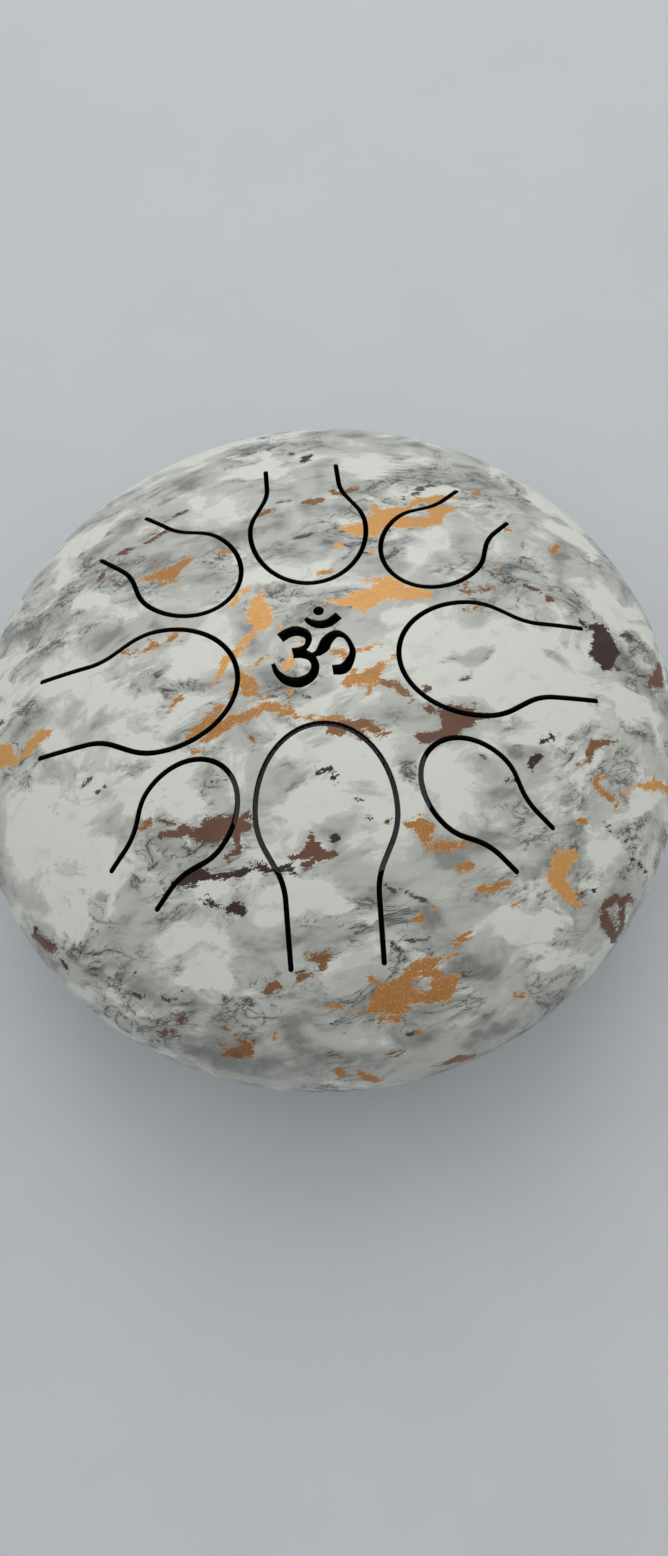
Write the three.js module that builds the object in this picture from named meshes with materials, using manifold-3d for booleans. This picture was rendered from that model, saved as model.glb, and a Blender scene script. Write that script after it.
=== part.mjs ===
// Steel tongue drum: two domed half shells welded at the rim, eight keyhole tongues cut in the top,
// an Om-shaped sound hole between them, a round port underneath and three push-in rubber feet.
// Millimetres, +Z up. The origin is on the ground below the middle; the longest tongue faces -Y.

import * as THREE from "three";
import { mergeVertices } from "three/addons/utils/BufferGeometryUtils.js";
import Module from "manifold-3d";

const wasm = await Module();
wasm.setup();

// Half shells
const DRUM_DIAMETER = 152;
const DOME_RADIUS = 117;
const SHOULDER_RADIUS = 17;
const SHEET = 1.5;
const PORT_DIAMETER = 50;
const PORT_LIFT = 3;
const SEAM_GAP = 0.3;
const WELD_WIDTH = 4;

// Tongues: the numbers below follow the middle of the slot that is cut round each one.
// angle is the way its middle line points, in degrees, and shift is how far left of the drum's axis
// that line passes. tip is the distance of the head's inner end from the axis, head is half the head's
// width, leg is the width between the straight slots, and root is where those slots end. The inner
// half of each head is an oval, stretched towards the axis.
const SLOT = 1;
const ROOT_GAP = 0.3;
const HEAD_STRETCH = 1.25;
const NECK_TAPER = THREE.MathUtils.degToRad(27);
const NECK_FILLET = 12;
const TONGUES = [
  { name: "tongue_front", angle: -91, shift: -0.1, tip: 12.9, head: 13.2, leg: 17.3, root: 56.4 },
  { name: "tongue_front_right", angle: -45, shift: 0.4, tip: 27.4, head: 8.8, leg: 11.3, root: 53.8 },
  { name: "tongue_right", angle: 1.6, shift: -1.1, tip: 15.8, head: 12.3, leg: 16.2, root: 54.8 },
  { name: "tongue_back_right", angle: 46.9, shift: -0.6, tip: 24.9, head: 10.1, leg: 13.2, root: 55 },
  { name: "tongue_back", angle: 91.2, shift: -1.2, tip: 17.5, head: 11.8, leg: 15.2, root: 53 },
  { name: "tongue_back_left", angle: 133.8, shift: 0.5, tip: 22.8, head: 10.4, leg: 13.6, root: 56 },
  { name: "tongue_left", angle: 178.5, shift: 1.9, tip: 15.2, head: 12.8, leg: 16.7, root: 57 },
  { name: "tongue_front_left", angle: 225.4, shift: -0.4, tip: 26.9, head: 9.2, leg: 11.9, root: 54.5 },
];

// Sound hole: brush strokes through points of [x, y, width], and the dot over the crescent.
const SIGN_STROKES = {
  upper_bowl: [
    [-6.65, 5.45, 2.2], [-5.05, 6.35, 2.2], [-3.4, 6.65, 2.2], [-1.65, 5.85, 1.8],
    [-1.12, 4.5, 1.25], [-1.7, 3.15, 1.1], [-3, 2.4, 1.4], [-4.5, 2.2, 1.6],
  ],
  lower_bowl: [
    [-4.3, 1.85, 2.1], [-2.5, 1.6, 2], [-0.9, 0.55, 1.6], [-0.3, -1.2, 1.55],
    [-1.1, -3.2, 1.9], [-3.4, -4.3, 2.2], [-5.9, -3.7, 1.8], [-7.6, -1.9, 1.2], [-8.35, 0.2, 0.7],
  ],
  tail: [
    [-1.6, 1.2, 0.8], [-0.4, 1.2, 1], [0.65, 1.6, 1.65], [1.65, 2.65, 2.3], [2.4, 4, 2.2],
    [4.15, 5.25, 1.7], [5.95, 4.45, 1], [7, 1.9, 1.1], [6.7, 0, 1.5], [5.1, -2.2, 2.2], [2.85, -2.4, 2],
  ],
  crescent: [
    [-1.45, 9.4, 0.7], [-0.6, 8.4, 1.3], [1, 7.65, 1.75], [3, 7.85, 1.9], [5.15, 9.4, 1.8],
  ],
};
const SIGN_DOT = { x: 1.25, y: 10.75, diameter: 2.05 };

// Feet
const FOOT_COUNT = 3;
const FOOT_CIRCLE_RADIUS = 38;
const FOOT_DIAMETER = 14;
const FOOT_EDGE = 1.2;
const STEM_DIAMETER = 5;
const HEAD_DIAMETER = 8.4;
const HEAD_HEIGHT = 4;
const CLEARANCE = 0.3;

// Facets
const AROUND = 48;
const DOME_STEPS = 6;
const SHOULDER_STEPS = 5;
const FOOT_SIDES = 16;
const ARC_STEP = THREE.MathUtils.degToRad(10);
const FOOT_EDGE_STEP = THREE.MathUtils.degToRad(30);
const STROKE_STEPS = 3;

// Sizes that follow from those above. Each half's dome and shoulder are arcs that meet at one tangent.
const RIM_RADIUS = DRUM_DIAMETER / 2;
const PORT_RADIUS = PORT_DIAMETER / 2;
const SHOULDER_CENTRE = RIM_RADIUS - SHOULDER_RADIUS;
const DOME_DROP = Math.sqrt((DOME_RADIUS - SHOULDER_RADIUS) ** 2 - SHOULDER_CENTRE ** 2);
const HALF_HEIGHT = DOME_RADIUS - DOME_DROP;
const TANGENT = Math.asin(SHOULDER_CENTRE / (DOME_RADIUS - SHOULDER_RADIUS));
const EQUATOR = PORT_LIFT + domeHeight(PORT_RADIUS, 0);

const steelFilm = { color: 0xcdd0cb, roughness: 0.42, metalness: 0.1 };
const blackRubber = { color: 0x1b1b1d, roughness: 0.9, metalness: 0 };

// Height of a dome over the equator at a radius, on the surface that lies inset inside the outside.
function domeHeight(radius, inset) {
  return Math.sqrt((DOME_RADIUS - inset) ** 2 - radius ** 2) - DOME_DROP;
}

// Closed triangles with shared vertices, as a solid for cutting and joining.
function solidOf(geometry) {
  const bare = geometry.clone();
  bare.deleteAttribute("normal");
  bare.deleteAttribute("uv");
  const merged = mergeVertices(bare, 1e-4);
  const index = merged.index.array;
  const triangles = [];
  for (let i = 0; i < index.length; i += 3) {
    const [a, b, c] = index.slice(i, i + 3);
    if (a !== b && b !== c && c !== a) triangles.push(a, b, c);
  }
  const vertProperties = new Float32Array(merged.attributes.position.array);
  const triVerts = new Uint32Array(triangles);
  return new wasm.Manifold(new wasm.Mesh({ numProp: 3, vertProperties, triVerts }));
}

function geometryOf(solid) {
  const mesh = solid.getMesh();
  const geometry = new THREE.BufferGeometry();
  geometry.setAttribute("position", new THREE.BufferAttribute(new Float32Array(mesh.vertProperties), 3));
  geometry.setIndex(new THREE.BufferAttribute(new Uint32Array(mesh.triVerts), 1));
  geometry.computeVertexNormals();
  return geometry;
}

// A revolved solid about +Z from a profile of [radius, height] points.
function revolve(profile, sides) {
  const points = profile.map(([radius, height]) => new THREE.Vector2(radius, height));
  return new THREE.LatheGeometry(points, sides).rotateX(Math.PI / 2);
}

// A vertical prism that passes through the whole drum.
function prism(points) {
  const depth = EQUATOR + HALF_HEIGHT;
  return new THREE.ExtrudeGeometry(new THREE.Shape(points), { depth, bevelEnabled: false });
}

function arc(centreX, centreY, radius, from, to, step = ARC_STEP) {
  const steps = Math.ceil(Math.abs(to - from) / step);
  const points = [];
  for (let i = 0; i <= steps; i++) {
    const angle = from + ((to - from) * i) / steps;
    points.push(new THREE.Vector2(centreX + radius * Math.cos(angle), centreY + radius * Math.sin(angle)));
  }
  return points;
}

// Points of one skin of a half shell, from an angle near the pole to an angle near the rim.
function skin(inset, from, to) {
  const points = [];
  for (let i = 0; i <= DOME_STEPS; i++) {
    const angle = from + ((TANGENT - from) * i) / DOME_STEPS;
    const radius = DOME_RADIUS - inset;
    points.push([radius * Math.sin(angle), radius * Math.cos(angle) - DOME_DROP]);
  }
  for (let i = 1; i <= SHOULDER_STEPS; i++) {
    const angle = TANGENT + ((to - TANGENT) * i) / SHOULDER_STEPS;
    const radius = SHOULDER_RADIUS - inset;
    points.push([SHOULDER_CENTRE + radius * Math.sin(angle), radius * Math.cos(angle)]);
  }
  return points;
}

// One pressed half shell with its pole up and its equator at height 0. The rim is bevelled for the weld.
function halfShell(holeRadius) {
  const outerHole = Math.asin(holeRadius / DOME_RADIUS);
  const innerHole = Math.asin(holeRadius / (DOME_RADIUS - SHEET));
  const outerRim = Math.acos(WELD_WIDTH / 2 / SHOULDER_RADIUS);
  const innerRim = Math.acos(SEAM_GAP / 2 / (SHOULDER_RADIUS - SHEET));
  const profile = [...skin(SHEET, innerHole, innerRim), ...skin(0, outerHole, outerRim).reverse()];
  if (holeRadius > 0) profile.push(profile[0]);
  return revolve(profile, AROUND);
}

// The bead in the bevelled groove between the two rims, flush with the outside.
function seamWeld() {
  const slope = (WELD_WIDTH - SEAM_GAP) / 2 / SHEET;
  const half = WELD_WIDTH / 2 - CLEARANCE * Math.hypot(1, slope);
  const edge = SHOULDER_CENTRE + Math.sqrt(SHOULDER_RADIUS ** 2 - half ** 2);
  const tip = RIM_RADIUS - half / slope;
  const profile = [[edge, -half], [RIM_RADIUS, 0], [edge, half], [tip, 0], [edge, -half]];
  return revolve(profile, AROUND).translate(0, 0, EQUATOR);
}

// Outline of a tongue along +X: oval head, straight taper, fillet and leg on each side.
// grow moves the outline out from the middle of the slot, and end is where the legs stop.
function tongueOutline(tongue, grow, end) {
  const headCentre = tongue.tip + tongue.head * HEAD_STRETCH;
  const headRadius = tongue.head + grow;
  const headLength = tongue.head * HEAD_STRETCH + grow;
  const filletRadius = NECK_FILLET - grow;
  const filletSide = tongue.leg / 2 + NECK_FILLET;
  const reach = tongue.head + NECK_FILLET - filletSide * Math.cos(NECK_TAPER);
  const filletCentre = headCentre + reach / Math.sin(NECK_TAPER);
  const quarter = Math.PI / 2;
  const turn = quarter - NECK_TAPER;
  const half = tongue.leg / 2 + grow;
  const head = arc(headCentre, 0, headRadius, turn, 2 * Math.PI - turn);
  for (const point of head) {
    if (point.x < headCentre) point.x = headCentre + ((point.x - headCentre) * headLength) / headRadius;
  }
  return [
    new THREE.Vector2(end, half),
    ...arc(filletCentre, filletSide, filletRadius, -quarter, -quarter - NECK_TAPER),
    ...head,
    ...arc(filletCentre, -filletSide, filletRadius, quarter + NECK_TAPER, quarter),
    new THREE.Vector2(end, -half),
  ];
}

function tongueCutter(tongue, grow, end) {
  const block = prism(tongueOutline(tongue, grow, end)).translate(0, tongue.shift, 0);
  return solidOf(block.rotateZ(THREE.MathUtils.degToRad(tongue.angle)));
}

// A brush stroke with square ends, drawn along a smooth curve of changing width.
function brushStroke(stroke) {
  const curve = new THREE.CatmullRomCurve3(stroke.map(([x, y, width]) => new THREE.Vector3(x, y, width / 2)));
  const steps = (stroke.length - 1) * STROKE_STEPS;
  const left = [];
  const right = [];
  for (let i = 0; i <= steps; i++) {
    const point = curve.getPoint(i / steps);
    const along = curve.getTangent(i / steps);
    const side = new THREE.Vector2(-along.y, along.x).setLength(point.z);
    left.push(new THREE.Vector2(point.x, point.y).add(side));
    right.unshift(new THREE.Vector2(point.x, point.y).sub(side));
  }
  return [...left, ...right];
}

function signCutters() {
  const outlines = Object.values(SIGN_STROKES).map(brushStroke);
  outlines.push(arc(SIGN_DOT.x, SIGN_DOT.y, SIGN_DOT.diameter / 2, 0, 2 * Math.PI - ARC_STEP));
  return outlines.map((outline) => solidOf(prism(outline)));
}

function topShell(dome) {
  let shell = dome;
  for (const tongue of TONGUES) {
    shell = shell.subtract(tongueCutter(tongue, SLOT / 2, tongue.root));
  }
  for (const cutter of signCutters()) {
    shell = shell.subtract(cutter);
  }
  return shell;
}

function footCentres() {
  const centres = [];
  for (let i = 0; i < FOOT_COUNT; i++) {
    const angle = (2 * Math.PI * i) / FOOT_COUNT - Math.PI / 2;
    centres.push([FOOT_CIRCLE_RADIUS * Math.cos(angle), FOOT_CIRCLE_RADIUS * Math.sin(angle)]);
  }
  return centres;
}

function bottomShell() {
  let shell = solidOf(halfShell(PORT_RADIUS).rotateX(Math.PI).translate(0, 0, EQUATOR));
  const hole = STEM_DIAMETER / 2 + CLEARANCE;
  for (const [x, y] of footCentres()) {
    const drill = revolve([[0, 0], [hole, 0], [hole, EQUATOR], [0, EQUATOR]], FOOT_SIDES);
    shell = shell.subtract(solidOf(drill.translate(x, y, 0)));
  }
  return shell;
}

// The space over the bottom dish's skin at an inset, up to the shoulder.
function dishSpace(inset) {
  const dome = skin(inset, 0, TANGENT).slice(0, DOME_STEPS + 1);
  const top = dome[DOME_STEPS][1];
  return solidOf(revolve([[0, top], ...dome.reverse()], AROUND).rotateX(Math.PI).translate(0, 0, EQUATOR));
}

// A push-in foot: a pad under the sheet, a stem through its hole and a barbed head inside.
function foot(x, y) {
  const seat = EQUATOR - domeHeight(FOOT_CIRCLE_RADIUS, SHEET);
  const slope = FOOT_CIRCLE_RADIUS / DOME_RADIUS;
  const padTop = seat + FOOT_DIAMETER * slope;
  const headTop = seat + HEAD_HEIGHT;
  const headBase = seat - HEAD_DIAMETER * slope;
  const padRadius = FOOT_DIAMETER / 2;
  const headRadius = HEAD_DIAMETER / 2;
  const stemRadius = STEM_DIAMETER / 2;
  const edge = arc(padRadius - FOOT_EDGE, FOOT_EDGE, FOOT_EDGE, -Math.PI / 2, 0, FOOT_EDGE_STEP);
  const padProfile = [[0, 0], ...edge.map((point) => [point.x, point.y]), [padRadius, padTop], [0, padTop]];
  const headProfile = [[0, headBase], [headRadius, headBase], [headRadius, seat + HEAD_HEIGHT / 2]];
  headProfile.push([stemRadius, headTop], [0, headTop]);
  const stemProfile = [[0, FOOT_EDGE], [stemRadius, FOOT_EDGE], [stemRadius, headTop], [0, headTop]];
  const place = (profile) => solidOf(revolve(profile, FOOT_SIDES).translate(x, y, 0));
  const pad = place(padProfile).subtract(dishSpace(-CLEARANCE));
  const head = place(headProfile).intersect(dishSpace(SHEET + CLEARANCE));
  return pad.add(place(stemProfile)).add(head);
}

function named(name, geometry, look) {
  const mesh = new THREE.Mesh(geometry, new THREE.MeshStandardMaterial(look));
  mesh.name = name;
  return mesh;
}

const drum = new THREE.Group();
const topDome = solidOf(halfShell(0).translate(0, 0, EQUATOR));
drum.add(named("top_shell", geometryOf(topShell(topDome)), steelFilm));
for (const tongue of TONGUES) {
  const blade = topDome.intersect(tongueCutter(tongue, -SLOT / 2, tongue.root - ROOT_GAP));
  drum.add(named(tongue.name, geometryOf(blade), steelFilm));
}
drum.add(named("bottom_shell", geometryOf(bottomShell()), steelFilm));
drum.add(named("seam_weld", seamWeld(), steelFilm));
footCentres().forEach(([x, y], i) => {
  drum.add(named(`foot_${i + 1}`, geometryOf(foot(x, y)), blackRubber));
});

export default drum;
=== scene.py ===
import math
import bpy
import numpy as np
from mathutils import Matrix, Vector
from mathutils.geometry import delaunay_2d_cdt


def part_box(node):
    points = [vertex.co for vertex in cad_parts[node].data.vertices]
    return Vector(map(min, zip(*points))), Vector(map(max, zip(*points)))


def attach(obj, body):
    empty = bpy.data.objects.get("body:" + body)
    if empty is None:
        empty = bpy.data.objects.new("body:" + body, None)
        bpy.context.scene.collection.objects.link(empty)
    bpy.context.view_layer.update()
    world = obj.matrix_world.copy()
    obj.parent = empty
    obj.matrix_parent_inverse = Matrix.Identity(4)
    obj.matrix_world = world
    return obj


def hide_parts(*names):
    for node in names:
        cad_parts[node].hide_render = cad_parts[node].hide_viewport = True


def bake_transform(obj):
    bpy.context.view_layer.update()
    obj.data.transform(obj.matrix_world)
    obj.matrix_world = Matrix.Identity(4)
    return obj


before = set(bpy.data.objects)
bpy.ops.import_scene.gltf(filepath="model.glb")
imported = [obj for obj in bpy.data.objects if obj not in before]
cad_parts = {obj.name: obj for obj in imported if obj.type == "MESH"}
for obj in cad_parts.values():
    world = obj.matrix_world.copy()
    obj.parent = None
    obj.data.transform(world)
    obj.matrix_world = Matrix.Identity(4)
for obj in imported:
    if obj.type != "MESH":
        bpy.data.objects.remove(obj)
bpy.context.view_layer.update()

# Lengths are in millimetres up to the moment a mesh is made.
MM = 0.001

# Shape of the drum
DOME_RADIUS = 117.0
SHOULDER_RADIUS = 17.0
SHEET = 1.5
SLOT = 1.0
HEAD_STRETCH = 1.25
NECK_TAPER = math.radians(27)
NECK_FILLET = 12.0
PORT_RADIUS = 25.0
EDGE = 0.1
SEAM_HALF = 1.52
SEAM_DEPTH = 1.2
FEET = 3
FOOT_CIRCLE_RADIUS = 38.0
FOOT_RADIUS = 7.0
FOOT_FLAT = 3.0
FOOT_EDGE = 1.2
FOOT_TOP_EDGE = 0.4
FOOT_GAP = 0.05
STEM_RADIUS = 2.5
STEM_GAP = 0.3
FOOT_HEAD_RADIUS = 4.2
FOOT_HEAD_HEIGHT = 4.0
FOOT_HEAD_EDGE = 0.2
FOOT_TIP_EDGE = 0.3
SKIN_INSET = 0.02

# name: angle in degrees, shift to the left seen from the middle, tip, half the head's width,
# leg width, root, all along the middle of the slot
TONGUES = {
    "front": (-91, -0.1, 12.9, 13.2, 17.3, 56.4),
    "front_right": (-45, 0.4, 27.4, 8.8, 11.3, 53.8),
    "right": (1.6, -1.1, 15.8, 12.3, 16.2, 54.8),
    "back_right": (46.9, -0.6, 24.9, 10.1, 13.2, 55),
    "back": (91.2, -1.2, 17.5, 11.8, 15.2, 53),
    "back_left": (133.8, 0.5, 22.8, 10.4, 13.6, 56),
    "left": (178.5, 1.9, 15.2, 12.8, 16.7, 57),
    "front_left": (225.4, -0.4, 26.9, 9.2, 11.9, 54.5),
}

# Strokes of the Om sign: x, y, width
SIGN = [
    [(-6.65, 5.45, 2.2), (-5.05, 6.35, 2.2), (-3.4, 6.65, 2.2), (-1.65, 5.85, 1.8), (-1.12, 4.5, 1.25),
     (-1.7, 3.15, 1.1), (-3, 2.4, 1.4), (-4.5, 2.2, 1.6)],
    [(-4.3, 1.85, 2.1), (-2.5, 1.6, 2), (-0.9, 0.55, 1.6), (-0.3, -1.2, 1.55), (-1.1, -3.2, 1.9),
     (-3.4, -4.3, 2.2), (-5.9, -3.7, 1.8), (-7.6, -1.9, 1.2), (-8.35, 0.2, 0.7)],
    [(-1.6, 1.2, 0.8), (-0.4, 1.2, 1), (0.65, 1.6, 1.65), (1.65, 2.65, 2.3), (2.4, 4, 2.2),
     (4.15, 5.25, 1.7), (5.95, 4.45, 1), (7, 1.9, 1.1), (6.7, 0, 1.5), (5.1, -2.2, 2.2), (2.85, -2.4, 2)],
    [(-1.45, 9.4, 0.7), (-0.6, 8.4, 1.3), (1, 7.65, 1.75), (3, 7.85, 1.9), (5.15, 9.4, 1.8)],
]
SIGN_DOT = (1.25, 10.75, 2.05)

# Foil in the film, in plan on the top shell: strokes of x, y, width in tenths of a millimetre,
# from bright gold to nearly black
GOLD = [
    [(-90, 168, 5), (-103, 152, 10), (-104, 138, 32), (-104, 122, 52), (-100, 106, 46), (-96, 92, 28),
     (-108, 76, 14), (-120, 64, 17), (-136, 52, 17), (-152, 38, 19), (-168, 26, 20), (-180, 8, 16),
     (-190, -12, 12), (-202, -24, 7)], [(-84, 118, 20), (-86, 96, 18)],
    [(-133, 107, 8), (-120, 118, 22), (-126, 129, 10)], [(-71, 84, 7), (-66, 80, 10), (-64, 72, 8)],
    [(-166, 137, 7), (-156, 146, 11), (-148, 158, 17), (-138, 170, 12), (-120, 177, 6)],
    [(-63, -13, 7), (-56, -6, 15), (-49, 2, 18), (-46, 15, 9)],
    [(-38, 52, 7), (-32, 44, 10), (-29, 34, 8)],
    [(26, 130, 6), (44, 127, 8), (56, 125, 16), (74, 125, 28), (96, 126, 42), (116, 132, 40),
     (136, 142, 44), (154, 149, 48), (170, 144, 42), (186, 140, 26), (208, 138, 26), (226, 136, 22)],
    [(97, 102, 14), (102, 114, 24)], [(104, 171, 7), (130, 170, 9), (152, 168, 20), (166, 164, 18)],
    [(150, 178, 8), (154, 168, 14)], [(217, 125, 10), (218, 134, 16)],
    [(73, 315, 8), (90, 310, 26), (110, 308, 36), (134, 310, 46), (150, 326, 46), (160, 344, 44),
     (172, 350, 40), (196, 358, 34), (214, 369, 18), (226, 380, 12), (244, 400, 24), (262, 398, 24),
     (280, 406, 24), (294, 414, 18), (310, 416, 10), (330, 416, 6)], [(148, 379, 9), (150, 364, 20)],
    [(176, 330, 36), (196, 330, 36), (218, 330, 30), (240, 328, 28), (260, 332, 30), (274, 346, 26),
     (280, 366, 30), (300, 372, 22), (318, 377, 11)], [(260, 364, 16), (274, 372, 22)],
    [(-690, -54, 60), (-654, -52, 54), (-640, -66, 26), (-618, -72, 14), (-600, -68, 22), (-586, -52, 30),
     (-570, -42, 28), (-552, -40, 20), (-540, -40, 10)],
    [(578, -257, 7), (596, -245, 12), (612, -240, 10), (630, -240, 15), (648, -232, 28), (666, -232, 22),
     (684, -234, 16)], [(654, -218, 10), (654, -228, 20)],
    [(412, -373, 7), (432, -375, 12), (454, -378, 20)],
    [(456, -384, 26), (440, -392, 40), (427, -403, 46), (419, -419, 44), (425, -435, 36), (438, -450, 28),
     (452, -463, 19), (462, -472, 10)], [(57, 271, 9), (64, 266, 17)], [(129, 249, 10), (133, 247, 10)],
]
BRONZE = [
    [(-148, -10, 13), (-138, -22, 26), (-132, -38, 38), (-126, -50, 22), (-120, -59, 9)],
    [(-166, -28, 8), (-166, -44, 11), (-170, -58, 7)], [(-136, 1, 7), (-120, 7, 7), (-88, 18, 6)],
    [(-249, -121, 11), (-234, -109, 22), (-218, -99, 22), (-202, -90, 19), (-192, -76, 20),
     (-186, -66, 10)],
    [(-226, -133, 11), (-208, -124, 20), (-190, -114, 24), (-172, -102, 22), (-152, -102, 19),
     (-134, -101, 19), (-118, -89, 22), (-104, -82, 26), (-90, -90, 20), (-74, -98, 18), (-60, -104, 16),
     (-48, -113, 10), (-32, -115, 10), (-16, -120, 16), (8, -120, 15), (30, -121, 16)],
    [(-100, -69, 10), (-104, -78, 18)], [(-127, -98, 10), (-131, -112, 8)],
    [(-54, -56, 10), (-56, -66, 9)], [(-58, -86, 8), (-57, -96, 9)], [(-249, -152, 8), (-236, -154, 9)],
    [(27, 19, 9), (40, 14, 14), (56, 4, 12)], [(80, 13, 9), (98, 17, 10), (126, 26, 7)],
    [(51, -52, 14), (64, -47, 26), (82, -46, 23), (100, -44, 32), (112, -34, 25), (124, -18, 13),
     (137, -9, 10), (153, 0, 7)], [(57, -65, 9), (58, -54, 18)], [(91, -80, 6), (97, -64, 14)],
    [(71, -25, 7), (67, -35, 10)],
    [(-348, 255, 6), (-330, 258, 10), (-310, 259, 24), (-294, 254, 36), (-278, 254, 34), (-262, 264, 24),
     (-250, 276, 17), (-230, 283, 10)], [(-310, 286, 8), (-308, 272, 13)],
    [(-252, 291, 8), (-250, 280, 11)], [(-296, 240, 16), (-270, 238, 13), (-264, 226, 6)],
    [(-178, 284, 8), (-166, 284, 16), (-156, 280, 8)], [(-328, 202, 6), (-320, 194, 10)],
    [(-392, 92, 7), (-366, 80, 8), (-336, 79, 10), (-310, 84, 11)], [(-326, 104, 8), (-320, 90, 13)],
    [(-284, 91, 8), (-264, 108, 8)], [(-270, 135, 7), (-269, 128, 9)],
    [(-285, -52, 8), (-275, -41, 12), (-260, -35, 8)], [(18, 198, 8), (44, 197, 11)],
    [(378, 221, 8), (389, 228, 10)], [(414, 325, 9), (428, 328, 14)], [(365, 434, 14), (380, 444, 16)],
    [(517, 280, 13), (524, 296, 21), (536, 314, 12)],
    [(538, -227, 9), (522, -235, 12), (516, -244, 13), (529, -258, 12), (544, -268, 15), (559, -276, 12),
     (564, -290, 8)], [(475, -317, 9), (483, -318, 11)],
    [(144, -328, 16), (166, -328, 30), (179, -336, 32), (171, -351, 22)],
    [(166, -363, 10), (194, -368, 18), (220, -366, 19), (242, -361, 14), (256, -362, 8)],
    [(228, -406, 10), (248, -404, 18), (262, -405, 15), (274, -406, 8)],
    [(268, -444, 13), (287, -445, 18), (303, -438, 12), (320, -435, 9)], [(328, -472, 9), (333, -472, 9)],
    [(174, -472, 9), (178, -473, 9)], [(140, -490, 10), (149, -491, 14)],
    [(202, -538, 10), (216, -536, 15), (227, -524, 11), (244, -512, 8)],
    [(36, -637, 12), (56, -632, 34), (72, -624, 54), (92, -622, 66), (108, -616, 48), (122, -624, 28),
     (142, -626, 24), (166, -622, 28), (186, -614, 34), (202, -599, 20), (210, -586, 10)],
    [(48, -583, 9), (64, -599, 12), (86, -602, 24), (108, -598, 30), (118, -586, 24), (130, -574, 24),
     (148, -570, 26), (168, -564, 19), (190, -557, 11), (214, -553, 7)],
    [(62, -650, 14), (86, -649, 22), (95, -658, 11)], [(188, -624, 18), (193, -633, 10)],
    [(160, -602, 14), (176, -600, 26), (194, -600, 24)],
    [(130, -586, 16), (154, -584, 17), (176, -586, 14)], [(36, -638, 10), (0, -633, 8), (-40, -624, 7)],
    [(52, -669, 9), (66, -675, 10), (78, -676, 8)], [(124, -681, 8), (135, -685, 9)],
    [(-150, -663, 8), (-136, -666, 11), (-124, -670, 7)], [(-28, -730, 10), (-21, -741, 13)],
    [(12, -738, 12), (24, -747, 22), (46, -751, 20)], [(320, -624, 9), (335, -626, 11)],
]
OCHRE = [
    [(2, 400, 9), (22, 400, 18), (44, 405, 11)], [(-93, 376, 9), (-76, 385, 18), (-60, 392, 10)],
    [(64, 434, 9), (71, 420, 18), (88, 426, 12), (104, 432, 16), (116, 435, 10)],
    [(298, 147, 8), (310, 146, 14), (320, 148, 8)], [(308, 152, 10), (309, 165, 11), (316, 172, 8)],
    [(336, 152, 7), (352, 156, 15), (374, 165, 9)], [(298, 101, 7), (316, 107, 9), (332, 117, 8)],
    [(-136, -138, 8), (-132, -144, 10), (-129, -154, 6)],
    [(120, -53, 10), (136, -60, 14), (150, -67, 18), (162, -77, 14), (173, -93, 6)],
    [(14, -137, 15), (36, -136, 25), (58, -136, 24), (80, -136, 27), (95, -146, 16), (110, -155, 12),
     (123, -159, 7)], [(0, -144, 10), (20, -145, 11), (42, -149, 8)],
    [(69, -150, 16), (72, -164, 16), (88, -167, 10), (106, -161, 8)],
    [(580, -155, 6), (560, -158, 8), (543, -164, 15), (525, -170, 20), (513, -185, 14), (510, -201, 14),
     (499, -211, 10), (483, -216, 7)], [(-366, -276, 9), (-352, -272, 14), (-338, -270, 9)],
    [(-65, -542, 10), (-44, -545, 20), (-26, -540, 16), (-8, -538, 8)], [(-38, -556, 16), (-44, -564, 8)],
    [(-86, -571, 8), (-70, -570, 12), (-56, -566, 10)],
    [(-151, -592, 10), (-142, -586, 18), (-131, -580, 15), (-120, -583, 7), (-100, -588, 6)],
    [(-243, -687, 10), (-228, -685, 18), (-210, -685, 24), (-196, -683, 30), (-187, -673, 19)],
    [(-244, -668, 7), (-232, -674, 12), (-224, -682, 14)], [(-209, -661, 8), (-198, -672, 14)],
    [(-204, -696, 10), (-190, -698, 9)], [(-235, -641, 7), (-222, -647, 7)],
    [(160, -733, 12), (184, -729, 21), (208, -724, 28), (234, -720, 18)],
    [(70, -711, 9), (94, -713, 10), (110, -710, 7)], [(-668, 26, 10), (-652, 25, 9)],
]
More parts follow.
